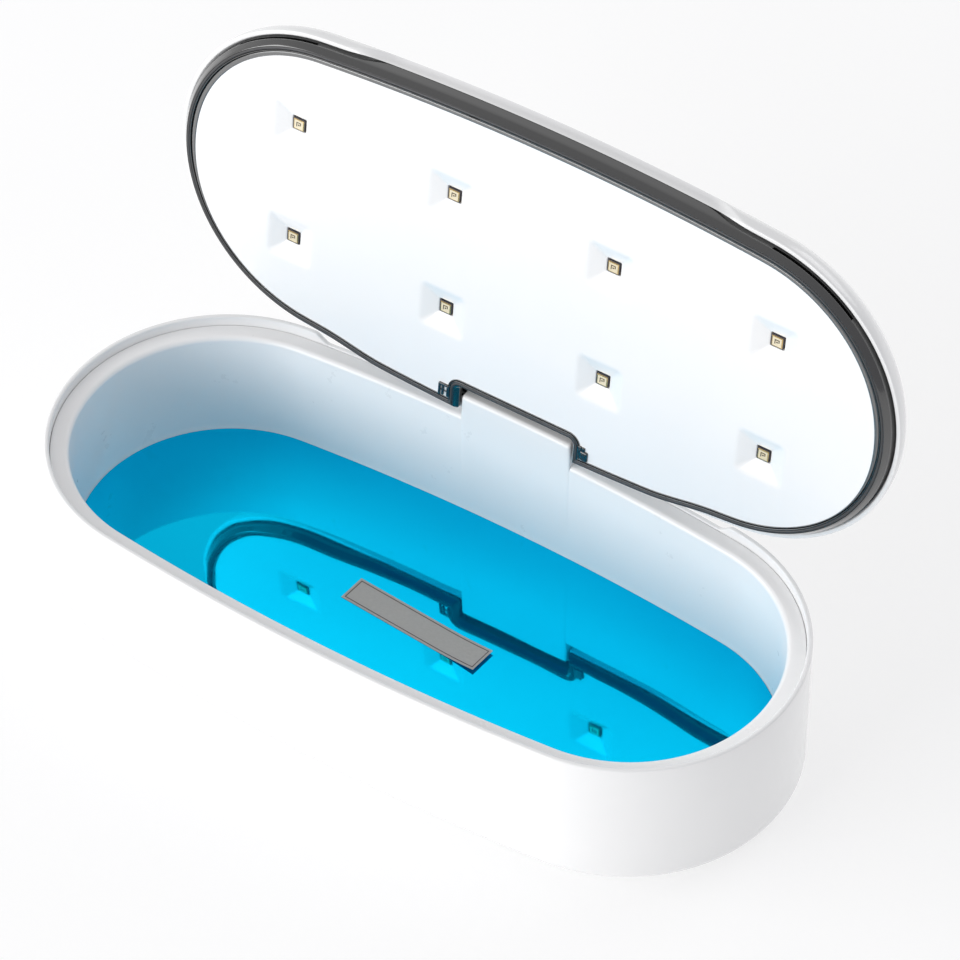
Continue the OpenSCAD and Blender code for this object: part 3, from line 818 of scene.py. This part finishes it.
def mouth_path():
    """Stations of the lid's mouth. They follow the outline and step round the bay with round corners."""
    ref, out_r, in_r = RING_OUT, 0.7, 0.9

    def placed(x, y, nx, ny, hub=None):
        return Station(x + ref * nx, y + ref * ny, nx, ny, 1, "bay", hub)

    def edge_y(x):
        return math.sqrt((SIDE_R - ref) ** 2 - x * x) - SIDE_Y + BULGE

    # outer corner: inside the mouth, between the outline and the bay's side wall
    cx = BAY_HALF + out_r
    cy = edge_y(cx) - out_r
    slope = math.asin(cx / SIDE_R)
    hub = (cx, cy, ref + out_r, 1 - math.sin(slope), -math.cos(slope))
    outer = [placed(cx + out_r * math.cos(a), cy + out_r * math.sin(a), math.cos(a), math.sin(a), hub)
             for a in spread(math.pi / 2 - slope, math.pi, 8)]
    # inner corner: the ring turns round it the other way
    ix, iy = BAY_HALF - in_r, BAY_FRONT + in_r
    inner = [placed(ix + in_r * math.cos(a), iy + in_r * math.sin(a), -math.cos(a), -math.sin(a))
             for a in spread(0, -math.pi / 2, 8)]
    half = outer + inner
    middle = [placed(x, BAY_FRONT, 0, 1) for x in spread(ix, -ix, 12)[1:-1]]
    other = [Station(-s.x, s.y, -s.nx, s.ny, s.tag, s.side,
                     s.hub and (-cx, cy, s.hub[2], -s.hub[3], s.hub[4])) for s in reversed(half)]
    near = BULGE_X
    right = [side_station(x, True) for x in spread(JOIN_X, near, 6)[1:] + spread(near, cx, 36)[1:-1]]
    left = [side_station(x, True) for x in spread(-cx, -near, 36)[1:] + spread(-near, -JOIN_X, 6)[1:-1]]
    for s in right + left:
        s.y += bulge(s)
    return outline(right + half + middle + other + left)


def build_frame():
    low = RING_LOW
    groove_z = low + 0.75
    edge = low + 1.5

    def profile(s):
        top = LEDGE_Z + (9.6 if s.tag else 6.0)
        step = RING_OUT + bulge(s)
        chamfer = [(0, 0.2), (0.04, 0.06), (0.14, -0.06), (0.5, -0.55), (0.85, -1.0), (1.15, -1.34)]
        return ([(step, top), (step, LID_Z - 0.15), (RING_OUT, LID_Z - 0.2)]
                + [(RING_OUT + d, edge + z) for d, z in chamfer]
                + [(RING_OUT + 1.32, low + 0.05), (SEAL_OUT, low + 0.06)]
                + [(SEAL_OUT, groove_z), (SEAL_IN, groove_z), (SEAL_IN, low + 0.1), (SEAL_IN + 0.06, low)]
                + arc(RING_IN - 0.2, low + 0.2, 0.2, 270, 360, 4) + [(RING_IN, low + 2.4), (RING_IN, top)])

    bm = bmesh.new()
    sweep(bm, mouth_path(), profile)
    obj = new_object("lid_frame_ring", bm)
    bm = bmesh.new()
    soft_box(bm, -BAY_HALF - 2.2, BAY_HALF + 2.2, BAY_FRONT - 2.2, HALF_W - 2.4,
             LEDGE_Z + 9.4, LEDGE_Z + 11.2, 0.3)
    cut(obj, new_object("bay_roof", bm), operation="UNION")
    cutters = []
    for sign in (-1, 1):
        bm = bmesh.new()
        centre = -math.radians(66) if sign > 0 else -math.radians(114)
        stations = [end_station(sign > 0, centre + math.radians(a)) for a in spread(-17, 17, 24)]
        slot = [(RING_OUT - 1, low + 1.9), (RING_OUT - 1, low + 2.9),
                (RING_OUT + 1.2, low + 2.9), (RING_OUT + 1.2, low + 1.9)]
        sweep(bm, stations, lambda s: slot, closed=False)
        cutters.append(new_object("slot_cutter", bm))
    sensor_x = -19.6
    sensor_y = SIDE_Y - math.sqrt((SIDE_R - RING_IN) ** 2 - sensor_x ** 2)
    bm = bmesh.new()
    soft_box(bm, sensor_x - 1.6, sensor_x + 1.6, sensor_y - 0.7, sensor_y + 0.6, low - 1, low + 0.7, 0.2)
    cutters.append(new_object("sensor_cutter", bm))
    cut(obj, *cutters)
    obj.data.transform(OPEN_LID)
    finish_piece(obj, FRAME, "lid", "frame_grey", "lid_frame")


def build_clips():
    """Small clips beside the bay that hold the ends of the hinge pins."""
    for sign, name in ((-1, "left"), (1, "right")):
        bm = bmesh.new()
        x0 = BAY_HALF + RING_IN - RING_OUT + 0.1
        y0, y1 = HALF_W - 8.2, HALF_W - 4.3
        z0, z1 = PANEL_Z - 0.55, PANEL_Z + 0.8

        def box(xa, xb, ya, yb, za=z0, zb=z1, r=0.22):
            soft_box(bm, min(sign * xa, sign * xb), max(sign * xa, sign * xb), ya, yb, za, zb, r)

        if sign < 0:
            box(x0 - 0.3, x0 + 3.2, y0, y0 + 0.8)
            box(x0 - 0.3, x0 + 0.6, y0, y1)
            box(x0 + 1.45, x0 + 2.2, y0 + 0.4, y1)
            box(x0 + 2.6, x0 + 3.3, y0 + 0.2, y1 + 0.4)
            box(x0 + 0.4, x0 + 2.8, y0 + 2.2, y0 + 2.8, z0 + 0.3)
        else:
            box(x0 - 0.3, x0 + 0.9, y0 - 0.4, y1, z0 + 0.1)
            box(x0 + 0.5, x0 + 3.0, y0 + 0.9, y1 + 0.3, z0 - 0.1, z1, 0.55)
            box(x0 + 1.0, x0 + 2.0, y0 - 0.3, y0 + 1.6, z0 + 0.15)
        clip = new_object(f"pin_clip_{name}", bm, lid=True)
        finish_piece(clip, FRAME, "lid", "frame_grey", "lid_frame")


def build_seal():
    bm = bmesh.new()
    low = RING_LOW - 0.12
    middle, r = (SEAL_OUT + SEAL_IN) / 2, (SEAL_IN - SEAL_OUT) / 2 - 0.03

    def profile(s):
        return arc(middle, low + r, r, 180, 360, 8) + [(middle + r, low + 0.85), (middle - r, low + 0.85)]

    sweep(bm, mouth_path(), profile)
    finish_piece(new_object("lid_seal_strip", bm, lid=True), SEAL, "lid", "seal_grey", "lid_seal")


# ---------------------------------------------------------------- lamp panel
POCKET = 14.0
POCKET_TOP = LEDGE_Z + 3
PANEL_BACK = PANEL_Z + 1.5
BEAD_END = 6.55
LAMP_W, LAMP_Z = 3.8, LEDGE_Z + 2.5


def build_panel():
    bm = bmesh.new()
    inset = RING_IN + 0.2
    path = mouth_path()

    def ring(d, z):
        """A loop round the mouth; the bead gets narrower towards the hinge."""
        wide = [1 - 0.8 * ease((s.y + 10) / 45) for s in path]
        return add_loop(bm, [(*s.point(inset + (d - inset) * w), z) for s, w in zip(path, wide)])

    bead = (arc(inset + 0.5, PANEL_Z + 0.3, 0.5, 180, 270, 5)
            + [(5.9, PANEL_Z - 0.2), (6.15, PANEL_Z - 0.17)])
    bead += [(6.3, PANEL_Z - 0.09), (6.38, PANEL_Z)]
    edge = [ring(inset, PANEL_BACK)] + [ring(d, z) for d, z in bead] + [ring(BEAD_END, PANEL_Z)]
    for k, (a, b) in enumerate(zip(edge, edge[1:])):
        bridge(bm, a, b, mat=1 if k < len(bead) else 0)
    back = ring(BEAD_END, PANEL_BACK)
    bridge(bm, edge[0], back)
    holes, backs = [], []
    for x, y in LAMPS:
        loops = []
        for w, r, z in ((POCKET + 2.2, 2.2, PANEL_Z), (POCKET + 1.6, 2.1, PANEL_Z),
                        (POCKET + 0.6, 1.9, PANEL_Z + 0.05), (POCKET - 0.4, 1.6, PANEL_Z + 0.17),
                        (POCKET - 1.4, 1.3, PANEL_Z + 0.36), (6.4, 0.5, POCKET_TOP - 0.42),
                        (5.6, 0.45, POCKET_TOP - 0.24), (4.9, 0.4, POCKET_TOP - 0.12),
                        (4.5, 0.3, POCKET_TOP), (4.4, 0.25, POCKET_TOP + 0.1),
                        (4.4, 0.25, POCKET_TOP + 0.5)):
            loops.append(add_loop(bm, rounded_rect(x, y, w, w, r, z, 4)))
        for a, b in zip(loops, loops[1:]):
            bridge(bm, a, b)
        outer = add_loop(bm, rounded_rect(x, y, 7.4, 7.4, 0.6, POCKET_TOP + 0.5, 4))
        flare = add_loop(bm, rounded_rect(x, y, POCKET, POCKET, 1.2, PANEL_BACK, 4))
        bridge(bm, loops[-1], outer)
        bridge(bm, outer, flare)
        holes.append(loops[0])
        backs.append(flare)
    fill(bm, [edge[-1]] + holes)
    fill(bm, [back] + backs)
    obj = new_object("lamp_reflector_panel", bm, lid=True)
    finish_piece(obj, [PANEL, BEAD], "lid", "panel_white", "led_panel")


def build_lamps():
    for i, (x, y) in enumerate(LAMPS):
        bm = bmesh.new()
        z = LAMP_Z
        steps = ((0, 0.15, 1.2), (0, 0.15, 0.3), (0.12, 0.12, 0.2), (0.5, 0.1, 0.18), (0.62, 0.1, 0.06),
                 (0.74, 0.1, 0), (1.02, 0.1, 0), (1.1, 0.1, 0.05))
        loops = [rounded_rect(x, y, LAMP_W - less, LAMP_W - less, r, z + up, 3) for less, r, up in steps]
        stack(bm, loops, (0, 0, 0, 1, 1, 1, 2), cap_mat=2)
        turn = 0.75
        bars = ((-turn, -turn + 0.28, -turn, turn), (-turn, turn, -turn, -turn + 0.28),
                (turn - 0.28, turn, -turn, 0.2), (-0.2, 0.25, -0.1, 0.35))
        for k, (xa, xb, ya, yb) in enumerate(bars):
            soft_box(bm, x + xa, x + xb, y + ya, y + yb, z - 0.01 - 0.004 * k, z + 0.1,
                     0.04, mat=3, steps=2)
        obj = new_object(f"lamp_package_{i + 1}", bm, lid=True)
        finish_piece(obj, [LAMP_SIDE, GOLD, CERAMIC, MARK], "lid", "lamp_package", f"led_{i + 1}")


# ---------------------------------------------------------------- button, ring and socket
def build_button():
    bm = bmesh.new()
    top = LID_TOP + 0.3
    flange = [(0, 3.4), (7.55, 3.4), (7.6, 3.3), (7.6, 2.4), (7.5, 2.3), (6.15, 2.3)]
    profile = [(r, LID_TOP - down) for r, down in flange] + [(6.15, top - 0.6)]
    profile += [(5.55 + r, z) for r, z in arc(0, top - 0.6, 0.6, 0, 90, 6)]
    dish = [(5.0, 0), (4.6, 0.03), (3.6, 0.16), (2.4, 0.26), (1.2, 0.31), (0, 0.33)]
    profile += [(r, top - down) for r, down in dish]
    lathe(bm, 0, 0, profile, 72)
    cap = new_object("button_cap", bm, lid=True)
    finish_piece(cap, SHELL, "power_button", "shell_white", "power_button")
    bm = bmesh.new()
    band = [(6.5, LID_T), (8.3, LID_T), (8.3, 0.2), (8.15, 0.04), (7.9, 0), (6.8, 0), (6.58, 0.06),
            (6.5, 0.25), (6.5, LID_T)]
    lathe(bm, 0, 0, [(r, LID_TOP - down) for r, down in band], 72)
    finish_piece(new_object("indicator_ring", bm, lid=True), RING, "lid", "ring_clear", "light_ring")


SOCKET_X, SOCKET_Z = -HALF_L + 2.3, LEDGE_Z + 8.4


def slot_loop(depth, w, h, r, steps=5):
    """A rounded slot outline at a depth in the socket."""
    return [(SOCKET_X + depth, a, b + SOCKET_Z) for a, b, _ in rounded_rect(0, 0, w, h, r, 0, steps)]


def build_socket():
    bm = bmesh.new()
    sleeve = [(5.4, 8.9, 3.16, 1.3), (0.15, 8.9, 3.16, 1.3), (0, 8.7, 2.96, 1.25),
              (0, 8.45, 2.7, 1.2), (0.15, 8.3, 2.56, 1.15), (4.9, 8.3, 2.56, 1.15)]
    stack(bm, [slot_loop(*sizes) for sizes in sleeve], cap_mat=1)
    tongue = [(4.9, 6.7, 0.7, 0.2, 3), (0.9, 6.7, 0.7, 0.2, 3), (0.6, 6.4, 0.5, 0.2, 3)]
    stack(bm, [slot_loop(*sizes) for sizes in tongue], (1, 1), cap_mat=1)
    for side in (-1, 1):
        for k in range(8):
            y = -2.45 + 0.7 * k
            z = SOCKET_Z + side * 0.36
            soft_box(bm, SOCKET_X + 1.1, SOCKET_X + 4.3, y - 0.14, y + 0.14, z - 0.06, z + 0.06,
                     0.03, mat=2, steps=1)
    obj = new_object("usb_inlet", bm, lid=True)
    finish_piece(obj, [SOCKET, BLACK, GOLD], "lid", "socket_steel", "usb_socket")


# ---------------------------------------------------------------- everything else keeps its CAD shape
def dress_cad():
    """Materials, and a fine bevel, for the CAD pieces that are shown as they are."""
    kept = {
        MIRROR: ["mirror_plate"],
        MAGNET: ["base_magnet_left", "base_magnet_right", "sensor_magnet", "lid_magnet_left",
                 "lid_magnet_right"],
        BOARD_WHITE: ["led_board_front", "led_board_back"],
        BOARD_GREEN: ["control_board"],
        BLACK: ["board_link_front", "board_link_back", "driver_chip", "lid_sensor", "button_switch",
                "switch_stem"],
        CAN: ["power_inductor", "filter_capacitor"],
        STEEL: ["frame_screws", "board_screws"],
        PIN: ["hinge_pin_left", "hinge_pin_right"],
    }
    for mat, names in kept.items():
        for name in names:
            obj = frame["nodes"][name]
            obj.data.materials.clear()
            obj.data.materials.append(mat)
            if name != "mirror_plate":
                bevel = obj.modifiers.new("edge", "BEVEL")
                bevel.width = 0.15 * MM
                bevel.segments = 2
                bevel.limit_method = "ANGLE"
                bevel.angle_limit = math.radians(50)


# ---------------------------------------------------------------- stage, light, camera
def area_light(name, place, target, size, energy):
    """A soft rectangular light at a place, turned to a target."""
    data = bpy.data.lights.new(name, "AREA")
    data.shape = "RECTANGLE"
    data.size, data.size_y = size
    data.energy = energy
    obj = bpy.data.objects.new(name, data)
    bpy.context.scene.collection.objects.link(obj)
    obj.location = place
    obj.rotation_mode = "QUATERNION"
    obj.rotation_quaternion = (Vector(target) - Vector(place)).to_track_quat("-Z", "Y")


FLOOR_HALF = 3.0


def build_stage():
    """A pale floor, a sky that is brighter on the left, and three soft lights; sizes in metres."""
    bm = bmesh.new()
    corners = ((-1, -1), (1, -1), (1, 1), (-1, 1))
    bm.faces.new([bm.verts.new((x * FLOOR_HALF, y * FLOOR_HALF, 0)) for x, y in corners])
    mesh = bpy.data.meshes.new("floor")
    bm.to_mesh(mesh)
    bm.free()
    floor = bpy.data.objects.new("floor", mesh)
    bpy.context.scene.collection.objects.link(floor)
    m = Nodes("floor_paper")
    m.link(m.ramp(m.noise(3, 3), ((0.3, (0.5, 0.5, 0.5, 1)), (0.7, (0.52, 0.52, 0.52, 1)))),
           m.bsdf.inputs["Base Color"])
    m.set(Roughness=0.9)
    m.bsdf.inputs["Emission Color"].default_value = (1, 1, 1, 1)
    m.bsdf.inputs["Emission Strength"].default_value = 0.5
    floor.data.materials.append(m.mat)

    world = bpy.data.worlds.new("studio")
    bpy.context.scene.world = world
    world.use_nodes = True
    tree = world.node_tree
    back = tree.nodes["Background"]
    coords = tree.nodes.new("ShaderNodeTexCoord")
    gradient = tree.nodes.new("ShaderNodeTexGradient")
    mapping = tree.nodes.new("ShaderNodeMapping")
    mapping.inputs["Rotation"].default_value = (0, 0, math.radians(20))
    mapping.inputs["Location"].default_value = (0.5, 0, 0)
    mapping.inputs["Scale"].default_value = (0.5, 0.5, 0.5)
    ramp = tree.nodes.new("ShaderNodeValToRGB")
    ramp.color_ramp.elements[0].color = (1.0, 1.0, 1.0, 1)
    ramp.color_ramp.elements[1].color = (0.62, 0.62, 0.65, 1)
    tree.links.new(coords.outputs["Generated"], mapping.inputs["Vector"])
    tree.links.new(mapping.outputs[0], gradient.inputs["Vector"])
    tree.links.new(gradient.outputs["Color"], ramp.inputs["Fac"])
    tree.links.new(ramp.outputs["Color"], back.inputs["Color"])
    back.inputs["Strength"].default_value = 0.8

    area_light("key", (-1.2, -0.95, 0.5), (0, 0, 0.05), (1.0, 0.7), 7.9)
    area_light("front", (-0.5, -1.5, 0.5), (0, 0, 0.08), (1.0, 0.6), 10.0)
    area_light("back", (0.35, 1.4, 0.8), (0, 0.05, 0.09), (0.9, 0.6), 4.0)


def build_camera():
    """The photograph's view, from a fit to the box's own outline."""
    azimuth, elevation, roll = math.radians(33.69), math.radians(45.30), math.radians(0.164)
    distance, focus = 1.5004, Vector((0.00124, 0.02640, 0.04396))
    flat = math.cos(elevation)
    back = Vector((math.sin(azimuth) * flat, -math.cos(azimuth) * flat, math.sin(elevation)))
    data = bpy.data.cameras.new("camera")
    data.lens, data.sensor_width = 206.7, 36
    data.clip_start, data.clip_end = 0.05, 20
    cam = bpy.data.objects.new("camera", data)
    bpy.context.scene.collection.objects.link(cam)
    cam.location = focus + back * distance
    cam.rotation_mode = "QUATERNION"
    level = (-back).to_track_quat("-Z", "Y")
    cam.rotation_quaternion = level @ Matrix.Rotation(roll, 3, "Z").to_quaternion()
    bpy.context.scene.camera = cam


build_camera()
build_stage()
build_base_shell()
build_tub()
build_film()
build_label()
build_feet()
build_base_screws()
build_lid_shell()
build_frame()
build_clips()
build_seal()
build_panel()
build_lamps()
build_button()
build_socket()
dress_cad()
bpy.context.scene.view_settings.view_transform = "Standard"
